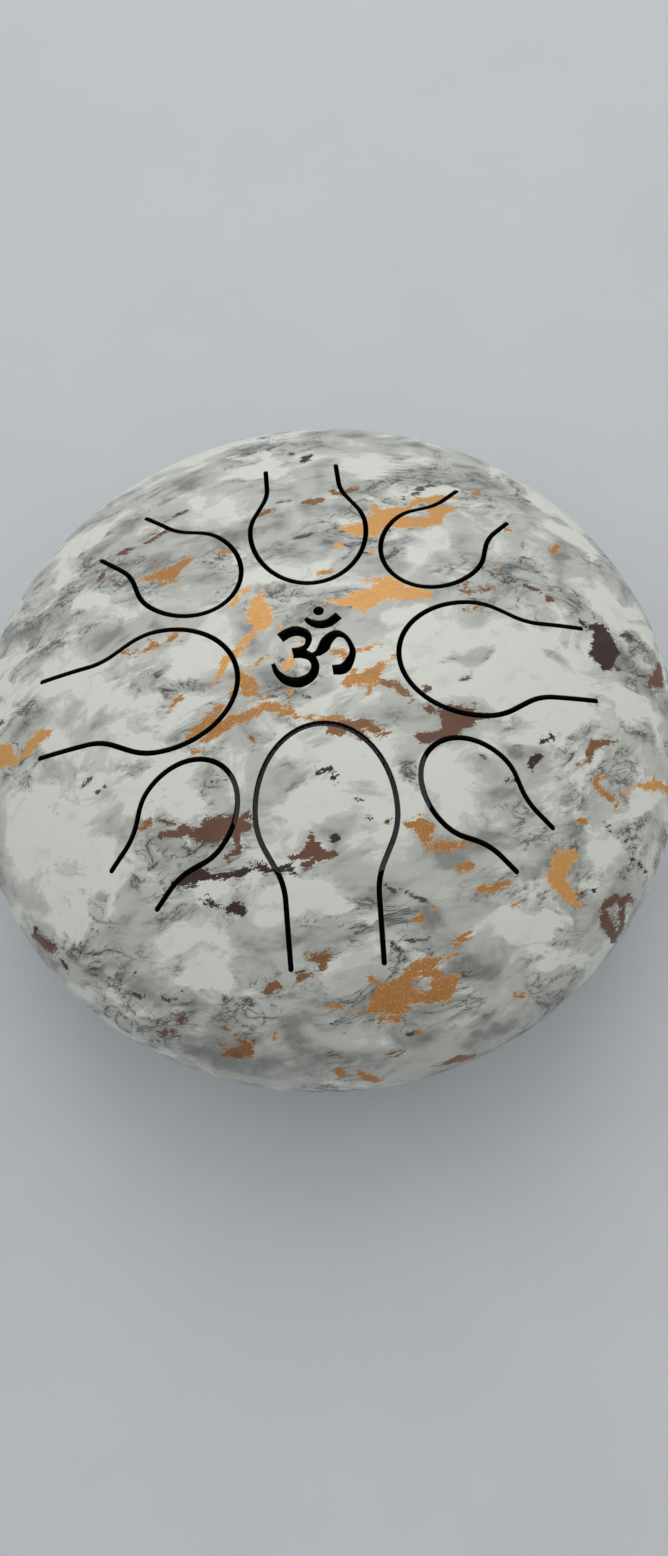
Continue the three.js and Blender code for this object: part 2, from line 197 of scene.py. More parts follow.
BROWN = [
    [(179, -165, 11), (194, -169, 19), (213, -168, 15), (230, -161, 26), (243, -147, 42), (255, -132, 52),
     (274, -131, 40), (294, -129, 20), (316, -126, 7)],
    [(194, -112, 9), (201, -117, 14), (222, -121, 9), (236, -121, 18), (248, -114, 19), (270, -115, 11),
     (285, -116, 8), (295, -103, 5)], [(202, -116, 10), (207, -108, 8)],
    [(195, -77, 8), (204, -73, 10), (212, -72, 7)],
    [(-320, -293, 8), (-295, -298, 10), (-270, -299, 11), (-256, -303, 20), (-242, -306, 34),
     (-225, -302, 43), (-205, -300, 44), (-185, -297, 40), (-168, -300, 32), (-152, -307, 16)],
    [(-318, -269, 7), (-280, -286, 8), (-265, -294, 10)], [(-227, -276, 8), (-218, -288, 12)],
    [(-173, -286, 9), (-148, -287, 7)],
    [(-174, -316, 16), (-176, -330, 13), (-175, -344, 17), (-198, -352, 13), (-196, -360, 8)],
    [(-78, -366, 8), (-60, -367, 14), (-46, -363, 24), (-36, -358, 36), (-26, -367, 28), (-12, -370, 16),
     (2, -368, 8)], [(-36, -337, 12), (-35, -350, 24)], [(-40, -376, 13), (-54, -386, 13)],
    [(538, -455, 17), (521, -464, 19), (510, -482, 22), (514, -499, 24), (532, -513, 26), (545, -519, 18)],
    [(585, -454, 6), (569, -450, 9), (553, -462, 19), (553, -482, 22), (557, -498, 22), (545, -512, 25)],
    [(435, 174, 9), (450, 168, 12), (462, 162, 9)], [(476, 143, 10), (483, 148, 17)],
    [(717, 39, 24), (712, 20, 32), (706, 2, 38), (690, -10, 23), (668, -22, 8)],
    [(-398, 352, 9), (-382, 353, 15), (-366, 359, 8)], [(-338, 362, 8), (-322, 369, 10), (-294, 382, 11)],
    [(-334, 384, 7), (-310, 386, 9)], [(-438, 292, 8), (-432, 302, 12), (-430, 316, 7)],
    [(-340, -608, 6), (-322, -607, 9), (-308, -606, 11), (-296, -606, 7)],
    [(-303, -598, 8), (-309, -610, 10), (-318, -623, 10)],
    [(-365, -632, 7), (-350, -635, 11), (-340, -631, 10)],
    [(-614, -413, 15), (-600, -425, 24), (-588, -435, 28), (-575, -445, 26), (-562, -450, 13)],
]
DARK = [
    [(542, 98, 9), (560, 90, 16), (576, 92, 26), (589, 94, 26)],
    [(586, 82, 48), (588, 64, 58), (587, 46, 66), (580, 28, 62), (578, 13, 36)],
    [(552, 25, 11), (566, 26, 20)], [(606, 55, 24), (618, 48, 13)],
    [(-300, -387, 9), (-275, -382, 23), (-256, -378, 28), (-240, -380, 20), (-220, -383, 11),
     (-190, -387, 10), (-178, -384, 16), (-160, -380, 11), (-140, -378, 14), (-118, -385, 11),
     (-84, -384, 8), (-74, -396, 12)], [(-250, -364, 8), (-252, -374, 12)],
    [(2, -349, 8), (5, -338, 10), (12, -343, 10)],
    [(-248, -425, 7), (-240, -421, 10), (-230, -432, 8), (-224, -438, 7)],
    [(-206, -444, 12), (-194, -442, 25), (-182, -446, 22), (-178, -456, 10)],
    [(-613, -408, 9), (-601, -404, 12), (-594, -407, 8)],
    [(-550, -476, 11), (-545, -484, 13), (-543, -494, 8)],
    [(410, -199, 11), (399, -208, 18), (391, -212, 15), (388, -224, 10)],
    [(339, -246, 8), (354, -248, 8)], [(574, -373, 8), (582, -384, 16), (596, -391, 8), (618, -398, 6)],
    [(469, -451, 9), (473, -452, 9)], [(490, -442, 10), (494, -443, 10)], [(53, -279, 7), (58, -280, 7)],
    [(73, -310, 7), (77, -310, 7)], [(106, -325, 7), (114, -325, 7)], [(416, -174, 7), (439, -159, 7)],
    [(-18, -221, 8), (2, -216, 9), (16, -224, 9), (11, -238, 9)],
    [(0, 550, 10), (14, 562, 23), (26, 572, 16)],
]

# Smoky veins, in the same way
VEINS = [
    [(85, -425, 6), (105, -442, 7), (120, -439, 6), (145, -454, 7), (170, -466, 6)],
    [(106, -524, 6), (136, -529, 7), (162, -524, 6)], [(94, -531, 6), (105, -542, 8), (114, -559, 6)],
    [(290, -203, 6), (302, -208, 7)], [(526, -318, 6), (542, -327, 9), (536, -336, 6)],
    [(546, -340, 6), (576, -348, 8), (588, -344, 6)], [(-215, -215, 6), (-200, -220, 8), (-186, -216, 6)],
    [(-410, -558, 7), (-394, -565, 9), (-384, -565, 7)],
    [(-346, -577, 6), (-334, -585, 7), (-318, -585, 7), (-321, -577, 6)],
    [(-332, -573, 6), (-306, -569, 6)], [(-410, -527, 6), (-394, -525, 7)],
    [(-384, -641, 6), (-368, -643, 7)], [(-127, -565, 6), (-118, -562, 6)],
    [(-90, -565, 6), (-66, -561, 7)], [(-152, -595, 6), (-143, -602, 7), (-139, -613, 6)],
    [(-35, -656, 6), (-16, -650, 9), (4, -654, 6)], [(106, -682, 7), (124, -678, 8), (142, -690, 6)],
    [(-474, -169, 6), (-464, -165, 11), (-457, -158, 7)], [(-444, -189, 6), (-426, -184, 6)],
    [(270, -53, 6), (284, -49, 7), (296, -39, 6)], [(-84, 17, 5), (-70, 12, 7), (-63, 6, 9)],
    [(-120, -64, 5), (-94, -67, 6), (-80, -69, 5)], [(-46, -64, 7), (-34, -69, 11), (-22, -74, 8)],
    [(76, 267, 6), (112, 262, 7)], [(114, 242, 10), (128, 238, 10)],
    [(-466, 160, 6), (-450, 173, 6), (-430, 176, 6)], [(-26, 296, 6), (0, 298, 7), (14, 306, 6)],
    [(-50, 410, 7), (-30, 412, 7)], [(-294, 418, 9), (-278, 424, 10), (-246, 434, 8)],
    [(208, 402, 8), (228, 414, 10), (244, 426, 13), (254, 444, 12), (280, 454, 10)],
    [(638, 90, 16), (656, 94, 16), (670, 86, 11), (684, 78, 9)], [(600, 6, 8), (640, 4, 6), (676, 0, 7)],
    [(-20, 592, 10), (-14, 582, 10)],
]

# Light and grey areas, in whole millimetres or halves; the grey along the front rim is partly painted shade
WHITE = [
    [(-66, 9, 8), (-56, 8, 9), (-44, 4, 8)], [(-30, 1, 6), (-20, 5, 8), (-19, 11, 4)],
    [(-37, -4, 8), (-26, -4, 6)], [(-39, -12, 5), (-33, -13, 5)],
    [(-38, -19, 6), (-29, -20, 9), (-26, -26, 6)],
    [(-64, -17, 10), (-60, -23, 13), (-50, -27, 12), (-42, -35, 7)], [(-54, -42, 5), (-50, -42, 4)],
    [(-31, -50, 8), (-27, -53, 9), (-23, -57, 5)], [(-24.5, -59.5, 4), (-17, -59.5, 4)],
    [(-7, -15, 6), (-3, -19, 9), (10, -21, 7)], [(-5, -11, 4), (-1, -10, 4)],
    [(-12, -37, 4), (-3, -36, 5)], [(-6, -28, 7), (-1, -26, 7)], [(11, -25, 6), (14, -29, 6)],
    [(-12, -43, 6), (-4, -43, 7)], [(-14, -47, 4.5), (-8, -46.5, 4.5)],
    [(5, -4, 5), (12, 0, 6), (20, 2, 9), (30, 3, 7), (42, 3, 7)],
    [(20, -5, 6), (36, -5, 9), (45, -8, 12), (54, -6, 12), (62, -6, 8)], [(20, -23, 6), (25, -28, 7)],
    [(32, -51, 5), (37, -52, 6)], [(51.5, -37.5, 5), (54, -36.5, 4)], [(61, -27, 4), (64, -26, 4)],
    [(38, -58, 4), (45, -56, 4)], [(19, -67, 3), (25, -66, 4)], [(2, -69.2, 2), (7, -69.6, 2)],
    [(15, 8, 3), (21, 9, 4)], [(-13, 20, 3), (-4, 20.5, 3), (3, 21.5, 3)], [(22, 24, 4), (27, 27, 4)],
    [(58, 16, 8), (66, 16, 7)], [(54, 36, 6), (60, 33, 5)], [(52, 45, 6), (60, 42, 8)],
    [(11, 53, 6), (14, 51, 6)], [(-22, 44, 6), (-18, 45, 6)], [(-13, 53, 8), (-8, 53, 5)],
    [(-14, 60, 5), (-10, 60, 5)], [(-54, 37, 5), (-53, 34, 4)], [(-47, 25, 4), (-43, 24, 4)],
    [(-52, 52, 5), (-49, 54, 5)], [(43, 54, 6), (46, 58, 5)], [(4, -36, 5), (13, -36, 6)],
    [(-60, 45, 6), (-46, 44, 6)], [(-46, 58, 6), (-38, 61, 6)], [(-30, 66, 6), (-12, 69, 6), (0, 75, 6)],
]
GREY_AND_SHADE = [
    [(-60, -45, 5), (-52, -50, 6), (-44, -51, 6), (-36, -57, 5)], [(-46, -46, 5), (-41, -45, 5)],
    # Grey along the front rim: partly the film's own grey, partly painted shade where the light falls off
    # towards the front
    [(-36, -62, 5), (-28, -61, 5), (-14, -62, 8), (-5, -61, 8), (6, -60, 7)],
    [(-28, -67, 7), (-14, -70, 9), (0, -71, 9), (13, -69, 8), (30, -68, 5)],
    [(-12, -66, 8), (2, -66, 9), (14, -65, 7)], [(-66, 24, 4), (-59, 22, 4)],
    [(-38, 30, 4), (-28, 29, 6)], [(-22, 31, 4), (-15, 32, 4)], [(-30, 36, 5), (-26, 37, 4)],
    [(-38, 44, 5), (-27, 44, 5)], [(-9, -3, 4), (-5, -6, 3)], [(8, -12, 3), (22, -12.5, 4)],
    [(-12, 4, 4), (-13, 11, 4)], [(-30, 13, 4), (-25, 13, 3)], [(36, 22, 5), (44, 22, 5)],
    [(52, 27, 5), (54, 30, 4)], [(5, 29, 5), (-4, 31, 5), (-5, 36, 4)], [(4, 45, 5), (4, 51, 4)],
    [(-6, 44, 4), (-2, 44, 4)], [(1, 37, 4), (7, 37, 4)], [(11, 44, 4), (15, 44, 4)],
    [(28, 50, 5), (37, 52, 7), (37, 45, 5)], [(-24, 53, 5), (-28, 56, 4)], [(4, 67, 5), (13, 67, 5)],
    [(36, -20, 3), (41, -19.5, 3)], [(42, -38, 4), (46, -34, 4)], [(20, -38, 4), (28, -43, 5)],
    [(44, -46, 5), (52, -49, 5)], [(46, -52, 6), (53, -46, 5)],
    [(10, -46, 5), (20, -50, 6), (26, -46, 5)], [(22, -56, 6), (28, -60, 4)],
    [(-37, -28, 5), (-28, -35, 6), (-20, -36, 4)], [(-6, -52, 5), (2, -51, 5)],
    [(-45, 12, 4), (-39, 14, 4)], [(-61, -2, 5), (-57, -1, 4)], [(63, 2, 5), (68, -1, 4)],
    [(66, 9, 4), (70, 5, 4)], [(-67, 26.4, 3), (-64.5, 25.6, 3)], [(-60, 39.5, 3), (-57, 40.4, 3)],
    [(-42, 56.8, 3), (-39.8, 57.3, 3)], [(-6, 63, 3), (9, 62.5, 3)], [(18, 60, 3), (27, 62.6, 3)],
]

# Tint of each list of foil, from 1 for gold to 0 for nearly black
FOIL = ((GOLD, 1.0), (BRONZE, 0.72), (OCHRE, 0.45), (BROWN, 0.22), (DARK, 0.0))

# How the strokes are laid: tenths to a millimetre, how sharply two tints meet, the depth far from any mark,
# the reach of a tone in half widths, and the turn of the copy on the underside in degrees
TENTHS = 10
TINT_BLEND = 3.0
FAR_OUTSIDE = -6.0
TONE_SPREAD = 1.2
UNDERSIDE_TURN = 100
GRAIN_RISE = math.radians(12)

# Camera, from the photo's frame of 668 by 1556 pixels
PHOTO_HEIGHT = 1556.0
FOCAL_PIXELS = 1200.0
SENSOR_WIDTH = 36.0
CLIP_START = 0.01
CAMERA_AZIMUTH = math.radians(0.256)
CAMERA_ELEVATION = math.radians(68.945)
CAMERA_ROLL = math.radians(-5.360)
CAMERA_DISTANCE = 219.48
CAMERA_AIM = (1.36, -24.35)

# Floor and light. The room is brightest above and behind the drum, and darkest towards the front.
FLOOR_HALF = 3000
LIGHT_FROM = (0.0, 0.4, 0.917)
LIGHT_MEAN = 0.5
LIGHT_SLOPE = 0.43
SKY_COLOUR = (0.98, 0.99, 1.0, 1.0)
KEY_PLACE = Vector((0.03, 0.4, 0.55))
KEY_TARGET = Vector((0, 0, 0.05))
KEY_SIZE = 0.6
KEY_POWER = 1.0

# Sizes that follow from those above
seam_low, seam_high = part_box("seam_weld")
RIM_RADIUS = seam_high.x / MM
EQUATOR = (seam_low.z + seam_high.z) / 2 / MM
SHOULDER_CENTRE = RIM_RADIUS - SHOULDER_RADIUS
DOME_DROP = math.sqrt((DOME_RADIUS - SHOULDER_RADIUS) ** 2 - SHOULDER_CENTRE ** 2)
TANGENT = math.asin(SHOULDER_CENTRE / (DOME_RADIUS - SHOULDER_RADIUS))
APEX = EQUATOR + DOME_RADIUS - DOME_DROP
SEAM_ANGLE = math.acos(SEAM_HALF / SHOULDER_RADIUS)

# Fineness of the meshes, and small lengths that count as none
DISC_RADIUS = 62.0
AROUND = 360
DOME_RINGS = 9
BEND_RINGS = 17
BEAD_RINGS = 9
PORT_POINTS = 180
DOT_POINTS = 28
STEM_POINTS = 24
FOOT_POINTS = 64
FOOT_SHARP = 40
SEAM_SHARP = 60
FINE = 0.6
COARSE = 4.0
OUTLINE_STEP = 0.6
SLOT_END_STEP = 0.2
FOOT_EDGE_STEP = 0.25
STROKE_STEPS = 10
EDGE_CLEARANCE = 0.45
ROUND_MIDDLE = 0.3
ROUND_FACES = 2
KEY_DIGITS = 3
ON_LINE = 1e-3
MERGED = 1e-5
SAME_POINT = 1e-6
TINY = 1e-9
TINIEST = 1e-200
QUARTER = math.pi / 2
TURN = 2 * math.pi

# Material slots of the sheet
FILM, CUT, INSIDE = 0, 1, 2


# Materials

class Nodes:
    """Adds nodes to a tree. An input is a value or another node's output."""

    def __init__(self, tree):
        self.tree = tree

    def plug(self, value, socket):
        if isinstance(value, bpy.types.NodeSocket):
            self.tree.links.new(value, socket)
        else:
            socket.default_value = value

    def add(self, kind, inputs=None, **settings):
        made = self.tree.nodes.new(kind)
        for key, value in settings.items():
            setattr(made, key, value)
        for key, value in (inputs or {}).items():
            self.plug(value, made.inputs[key])
        return made.outputs

    def calc(self, operation, a, b=0.0, c=0.0):
        return self.add("ShaderNodeMath", {0: a, 1: b, 2: c}, operation=operation)[0]

    def times(self, a, b):
        return self.calc("MULTIPLY", a, b)

    def plus(self, base, value, scale):
        """base + value * scale"""
        return self.calc("MULTIPLY_ADD", value, scale, base)

    def step(self, value, start, end, out_start=0.0, out_end=1.0):
        """Smooth step; the start may be the larger one."""
        inputs = {"Value": value, "From Min": start, "From Max": end, "To Min": out_start, "To Max": out_end}
        return self.add("ShaderNodeMapRange", inputs, interpolation_type="SMOOTHSTEP")[0]

    def mix(self, factor, under, over):
        return self.add("ShaderNodeMix", {0: factor, 6: under, 7: over}, data_type="RGBA")[2]

    def noise(self, vector, scale, detail, roughness=0.55, distortion=0.0):
        inputs = {"Vector": vector, "Scale": scale, "Detail": detail, "Roughness": roughness,
                  "Distortion": distortion}
        return self.add("ShaderNodeTexNoise", inputs)[0]

    def swing(self, *settings):
        """Noise about zero."""
        return self.calc("SUBTRACT", self.noise(*settings), 0.5)

    def ridge(self, *settings):
        """Noise that is zero along lines."""
        return self.calc("ABSOLUTE", self.swing(*settings))

    def cells(self, vector, scale):
        return self.add("ShaderNodeTexVoronoi", {"Vector": vector, "Scale": scale})

    def place_in_mm(self):
        coords = self.add("ShaderNodeTexCoord")["Object"]
        return self.add("ShaderNodeVectorMath", {0: coords, "Scale": 1 / MM}, operation="SCALE")[0]

    def grain(self, vector, along):
        """Coordinates stretched along the film's grain, which rises a little to the right."""
        level = self.add("ShaderNodeMapping", {"Vector": vector, "Rotation": (0, 0, -GRAIN_RISE)})[0]
        return self.add("ShaderNodeMapping", {"Vector": level, "Scale": (along, 1, 1)})[0]

    def mark(self, name):
        return self.add("ShaderNodeAttribute", attribute_name=name, attribute_type="GEOMETRY")["Fac"]

    def bump(self, height, strength, distance):
        return self.add("ShaderNodeBump", {"Height": height, "Strength": strength, "Distance": distance})[0]

    def surface(self, inputs):
        """Plugs values into the material's own shader."""
        shader = self.tree.nodes["Principled BSDF"]
        for key, value in inputs.items():
            self.plug(value, shader.inputs[key])


def new_material(name):
    material = bpy.data.materials.new(name)
    material.use_nodes = True
    return material, Nodes(material.node_tree)


def rgb(red, green, blue):
    """Linear colour from screen values of 0 to 255."""
    def linear(value):
        value /= 255
        return value / 12.92 if value <= 0.04045 else ((value + 0.055) / 1.055) ** 2.4
    return (linear(red), linear(green), linear(blue), 1.0)


# Clouds of the film: start and end on the scale from grey to white, strength, colour
CLOUDS_AND_SHADE = (
    # Deepest grey: partly the film's own grey, partly painted shade along the front rim, where the light
    # falls off
    (-0.14, -0.32, 0.65, rgb(102, 103, 99)),
    (-0.14, -0.01, 0.8, rgb(184, 186, 178)),
    (0.012, 0.042, 0.85, rgb(196, 198, 189)),
    (0.068, 0.09, 1.0, rgb(209, 212, 202)),
)

# Foil: start and end on the scale of its tint, colour
DARKEST_FOIL = rgb(50, 27, 20)
FOIL_COLOURS = (
    (0.0, 0.25, rgb(104, 70, 53)),
    (0.22, 0.5, rgb(126, 86, 48)),
    (0.45, 0.75, rgb(167, 114, 54)),
    (0.72, 1.0, rgb(198, 144, 76)),
)


def film_material():
    """Marble film. Each noise is given by its scale per millimetre, detail, roughness and distortion."""
    material, nodes = new_material("marble_film")
    step, mix, times, plus = nodes.step, nodes.mix, nodes.times, nodes.plus
    place = nodes.place_in_mm()
    wide, long, brushed = [nodes.grain(place, along) for along in (0.6, 0.4, 0.2)]

    # Clouds, from grey to white, the deepest grey partly painted shade
    level = plus(nodes.swing(wide, 0.115, 9, 0.6, 0.6), nodes.mark("tone"), 0.2)
    level = plus(level, nodes.swing(brushed, 0.9, 5, 0.6, 0.3), 0.08)
    mottle = nodes.noise(wide, 0.17, 6, 0.5, 0.7)
    colour = mix(step(mottle, 0.34, 0.64), rgb(130, 132, 127), rgb(178, 180, 173))
    for start, end, strength, shade in CLOUDS_AND_SHADE:
        colour = mix(times(step(level, start, end), strength), colour, shade)
    cloud = step(nodes.noise(wide, 0.3, 6, 0.6, 0.6), 0.52, 0.72)
    colour = mix(times(cloud, 0.35), colour, rgb(172, 174, 166))

    # Veins with a smoky halo, outside the whites
    ridge = nodes.ridge(long, 0.12, 5, 0.56, 0.9)
    small = nodes.ridge(long, 0.3, 5, 0.6, 0.8)
    zone = times(step(nodes.noise(place, 0.055, 3), 0.42, 0.58), step(level, 0.09, 0.0))
    smoke = times(step(ridge, 0.075, 0.0), zone)
    colour = mix(times(smoke, 0.5), colour, rgb(102, 101, 97))
    thread = nodes.calc("MAXIMUM", step(ridge, 0.016, 0.0), step(small, 0.02, 0.0))
    thread = times(thread, step(nodes.noise(place, 0.16, 3), 0.41, 0.52))
    colour = mix(times(times(thread, zone), 0.92), colour, rgb(48, 46, 44))

    # Torn edges for everything that is laid over the clouds
    ragged = plus(-0.02, nodes.swing(long, 0.6, 8, 0.7, 1.1), 3.2)
    ragged = plus(ragged, nodes.calc("SUBTRACT", nodes.cells(long, 0.75)["Distance"], 0.5), 0.8)
    ragged = plus(ragged, nodes.swing(place, 2.4, 4, 0.6), 1.2)

    # Veins drawn one by one, with a halo of their own
    veins = nodes.calc("ADD", nodes.mark("veins"), ragged)
    colour = mix(times(step(veins, -0.5, 0.2), 0.35), colour, rgb(93, 92, 88))
    colour = mix(times(step(veins, 0.05, 0.22), 0.9), colour, rgb(37, 36, 35))

    # Foil, from nearly black through brown to gold, with painted glints and a pale rim in places
    hair = step(nodes.ridge(long, 0.45, 4, 0.6, 1.2), 0.035, 0.0)
    reach = plus(nodes.calc("ADD", nodes.mark("foil"), ragged), hair, 0.6)
    tint = plus(nodes.mark("tint"), nodes.swing(long, 0.3, 4, 0.55, 0.5), 0.35)
    patch = DARKEST_FOIL
    for start, end, shade in FOIL_COLOURS:
        patch = mix(step(tint, start, end), patch, shade)
    # Painted glints: random flecks of the foil lightened towards a pale gold
    glint_cells = nodes.add("ShaderNodeSeparateColor", {"Color": nodes.cells(place, 5.5)["Color"]})[0]
    painted_glint = times(step(glint_cells, 0.8, 1.0), step(tint, 0.3, 0.7))
    patch = mix(times(painted_glint, 0.35), patch, rgb(236, 200, 146))
    rim = times(step(reach, 0.4, 0.18), step(nodes.noise(place, 0.4, 3), 0.44, 0.54))
    rim = times(rim, step(tint, 0.2, 0.6))
    patch = mix(times(rim, 0.5), patch, rgb(226, 208, 180))

    cover = step(reach, 0.02, 0.16)
    satin = step(nodes.noise(long, 0.8, 5), 0.3, 0.7, 0.36, 0.48)
    height = plus(times(cover, 0.25), nodes.noise(place, 1.6, 4), 0.6)
    nodes.surface({
        "Base Color": mix(cover, colour, patch),
        "Roughness": plus(satin, cover, -0.05),
        "Metallic": times(cover, 0.25),
        "Normal": nodes.bump(height, 0.12, 0.0001),
    })
    return material


def plain_material(name, low, high, roughness, scale, metallic=0.0, strength=0.2):
    """A surface whose colour, roughness and height all vary with one fine noise."""
    material, nodes = new_material(name)
    value = nodes.noise(nodes.place_in_mm(), scale, 5, 0.6)
    nodes.surface({
        "Base Color": nodes.mix(nodes.step(value, 0.3, 0.7), low, high),
        "Roughness": nodes.step(value, 0.3, 0.7, roughness - 0.06, roughness + 0.06),
        "Metallic": metallic,
        "Normal": nodes.bump(value, strength, 0.0002),
    })
    return material


film = film_material()
cut_steel = plain_material("cut_edge", rgb(27, 25, 24), rgb(46, 43, 39), 0.5, 1.4, 0.3)
# Near black inside: partly dark paint, partly painted shade so that the openings read black
dark_paint_and_shade_inside = plain_material("inside", rgb(16, 16, 17), rgb(30, 30, 31), 0.75, 0.6)
rubber = plain_material("black_rubber", rgb(24, 24, 26), rgb(40, 40, 42), 0.8, 2.2)
pale_floor = plain_material("floor", rgb(189, 193, 196), rgb(193, 197, 200), 0.7, 0.02, 0, 0.02)


# Shape helpers, in plan or on the shell

def dome_height(radius, inset):
    return np.sqrt((DOME_RADIUS - inset) ** 2 - radius ** 2) - DOME_DROP


def on_dome(plan, inset, side):
    """Plan points lifted to a dome skin; side is 1 for the top shell and -1 for the bottom shell."""
    height = dome_height(np.hypot(plan[:, 0], plan[:, 1]), inset)
    return np.column_stack([plan, EQUATOR + side * height])


def dome_normals(points, side):
    away = points - np.array([0, 0, EQUATOR - side * DOME_DROP])
    return away / np.linalg.norm(away, axis=1, keepdims=True)


def on_outside(plan):
    """Plan points lifted to the outside of the top shell, dome or shoulder."""
    radius = np.hypot(plan[:, 0], plan[:, 1])
    reach = np.clip(radius - SHOULDER_CENTRE, 0, SHOULDER_RADIUS)
    shoulder = np.sqrt(SHOULDER_RADIUS ** 2 - reach ** 2)
    height = np.where(radius <= DOME_RADIUS * math.sin(TANGENT), dome_height(radius, 0), shoulder)
    return np.column_stack([plan, EQUATOR + height])


def round_points(centre, radius, angles):
    return np.column_stack([centre[0] + radius * np.cos(angles), centre[1] + radius * np.sin(angles)])


def arc(centre, radius, start, end, length=OUTLINE_STEP):
    count = max(2, math.ceil(abs(end - start) * radius / length))
    return round_points(centre, radius, np.linspace(start, end, count + 1))


def circle(centre, radius, count):
    return round_points(centre, radius, np.arange(count) * TURN / count)


def line(start, end):
    count = max(1, math.ceil(math.dist(start, end) / OUTLINE_STEP))
    return np.linspace(start, end, count + 1)


def turned(points, degrees):
    angle = math.radians(degrees)
    rotation = np.array([[math.cos(angle), -math.sin(angle)], [math.sin(angle), math.cos(angle)]])
    return points @ rotation.T


def placed(points, tongue):
    """Plan points of a tongue drawn along +X, moved to the tongue's own line."""
    angle, shift = tongue[:2]
    return turned(points + np.array([0, shift]), angle)


def outline(tongue, runs):
    """A tongue's closed outline through the runs in order, with straight lines in between, in place."""
    points = runs[0]
    for run in [*runs[1:], runs[0][:1]]:
        points = np.vstack([points, line(points[-1], run[0]), run])
    gaps = np.linalg.norm(points - np.roll(points, 1, axis=0), axis=1)
    return placed(points[gaps > SAME_POINT], tongue)


def neck(tongue, grow):
    """Runs of a tongue's outline along +X: upper fillet, oval head and lower fillet.
    Also gives the distance at which the fillets begin."""
    _, _, tip, head, leg, _ = tongue
    head_centre = tip + head * HEAD_STRETCH
    side = leg / 2 + NECK_FILLET
    fillet_centre = head_centre + (head + NECK_FILLET - side * math.cos(NECK_TAPER)) / math.sin(NECK_TAPER)
    turn = QUARTER - NECK_TAPER
    radius = NECK_FILLET - grow
    oval = arc((head_centre, 0), head + grow, turn, TURN - turn)
    ahead = oval[:, 0] - head_centre
    stretch = (head * HEAD_STRETCH + grow) / (head + grow)
    oval[:, 0] = head_centre + np.where(ahead < 0, ahead * stretch, ahead)
    return [
        arc((fillet_centre, side), radius, -QUARTER, -QUARTER - NECK_TAPER),
        oval,
        arc((fillet_centre, -side), radius, QUARTER + NECK_TAPER, QUARTER),
    ], fillet_centre


def opening_outline(tongue):
    """The shell's edge round a tongue: slot with round ends, and the root line in between."""
    _, _, _, _, leg, root = tongue
    grow = SLOT / 2 + EDGE
    lower, upper = [arc((root - SLOT / 2, y), grow, -QUARTER, QUARTER, SLOT_END_STEP)
                    for y in (-leg / 2, leg / 2)]
    return outline(tongue, [lower, line(lower[-1], upper[0]), upper, *neck(tongue, grow)[0]])


def tongue_outline(tongue):
    _, _, _, _, leg, root = tongue
    grow = -SLOT / 2 - EDGE
    half = leg / 2 + grow
    end = root - SLOT / 2
    return outline(tongue, [line((end, -half), (end, half)), *neck(tongue, grow)[0]])


def smooth_stroke(points):
    """Catmull-Rom curve through the points."""
    points = np.array(points, float)
    ends = np.vstack([2 * points[0] - points[1], points, 2 * points[-1] - points[-2]])
    out = []
    for i in range(len(points) - 1):
        p0, p1, p2, p3 = ends[i:i + 4]
        square = 2 * p0 - 5 * p1 + 4 * p2 - p3
        cube = 3 * (p1 - p2) + p3 - p0
        for t in np.linspace(0, 1, STROKE_STEPS, endpoint=False):
            out.append(p1 + 0.5 * t * (p2 - p0 + t * (square + t * cube)))
    return np.vstack([out, points[-1:]])


def stroke_outline(points):
    curve = smooth_stroke(points)
    along = np.gradient(curve[:, :2], axis=0)
    along /= np.linalg.norm(along, axis=1, keepdims=True)
    side = np.column_stack([-along[:, 1], along[:, 0]]) * (curve[:, 2:] / 2 + EDGE)
    return np.vstack([curve[:, :2] + side, (curve[:, :2] - side)[::-1]])


def sides(loop):
    """The straight sides of a closed outline."""
    return zip(loop, np.roll(loop, -1, axis=0))


def from_segment(points, start, end):
    """Distance of the points from a straight piece, and how far along it they lie."""
    span = end - start
    t = np.clip(((points - start) @ span) / max(span @ span, TINY), 0, 1)
    return np.linalg.norm(points - start - t[:, None] * span, axis=1), t


def inside(points, loop):
    """Which plan points lie inside a closed outline."""
    near = ((points >= loop.min(0)) & (points <= loop.max(0))).all(1)
    x, y = points[near].T
    odd = np.zeros(len(x), bool)
    for (x0, y0), (x1, y1) in sides(loop):
        if y0 != y1:
            odd ^= ((y0 > y) != (y1 > y)) & (x < x0 + (y - y0) * (x1 - x0) / (y1 - y0))
    result = np.zeros(len(points), bool)
    result[near] = odd
    return result


def spread_points(outer, holes, spacing):
    """Hexagonal points within the outline, clear of every edge."""
    low, high = outer.min(0), outer.max(0)
    points = []
    for i, y in enumerate(np.arange(low[1], high[1], spacing * math.sqrt(3) / 2)):
        xs = np.arange(low[0] + (i % 2) * spacing / 2, high[0], spacing)
        points.append(np.column_stack([xs, np.full(len(xs), y)]))
    points = np.vstack(points)
    points = points[inside(points, outer)]
    for loop in [outer, *holes]:
        near = ((points > loop.min(0) - spacing) & (points < loop.max(0) + spacing)).all(1)
        index = np.where(near)[0]
        gap = np.full(len(index), np.inf)
        for a, b in sides(loop):
            gap = np.minimum(gap, from_segment(points[index], a, b)[0])
        points = np.delete(points, index[gap < EDGE_CLEARANCE * spacing], axis=0)
    return points


